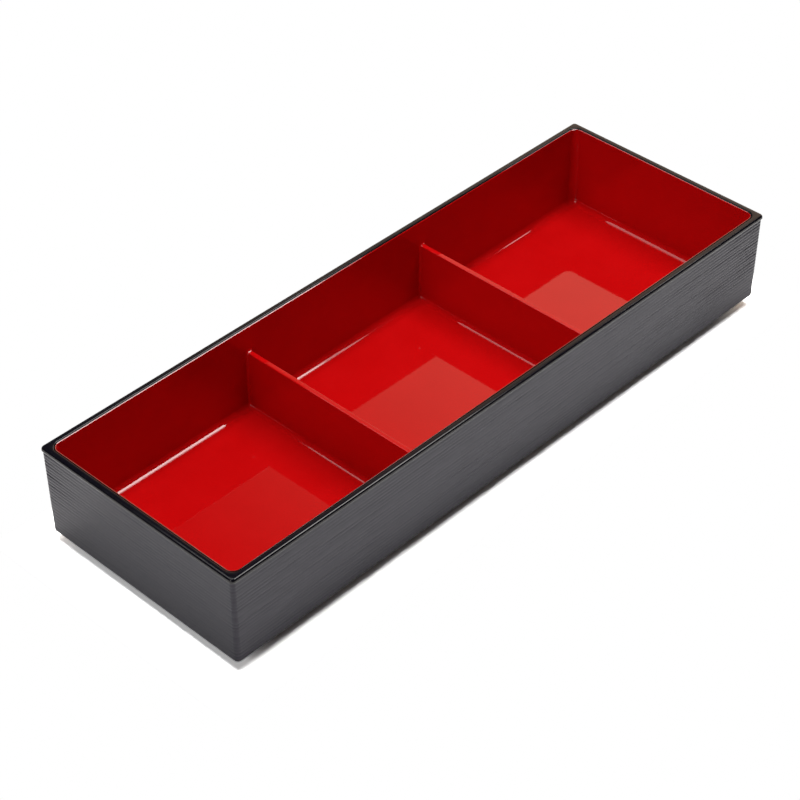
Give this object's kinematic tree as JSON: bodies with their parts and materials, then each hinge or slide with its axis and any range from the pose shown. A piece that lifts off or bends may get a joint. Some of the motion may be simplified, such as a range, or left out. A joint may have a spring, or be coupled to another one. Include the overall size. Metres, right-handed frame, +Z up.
{
  "type": "bento box",
  "caption": "Long slim open-topped bento box: a dark case with fine grain lines holds a glossy lift-out tray with low dividers between its food compartments.",
  "frame": {"origin": "middle of the underside, on the surface that the box stands on", "axes": "+X along the box's length, +Y across its width, +Z up towards the open top"},
  "size_m": [0.35, 0.12, 0.053],
  "materials": {
    "case_black": "black moulded plastic with fine horizontal grain lines and a smooth glossy rim",
    "tray_red": "glossy vermilion lacquer-like plastic"
  },
  "bodies": {
    "case": {"outer_case": "case_black"},
    "tray": {"compartment_tray": "tray_red"}
  },
  "joints": [
    {"name": "tray_lift", "type": "slide", "parent": "case", "child": "tray", "axis": [0, 0, 1], "range_m": [0, 0.06]}
  ]
}
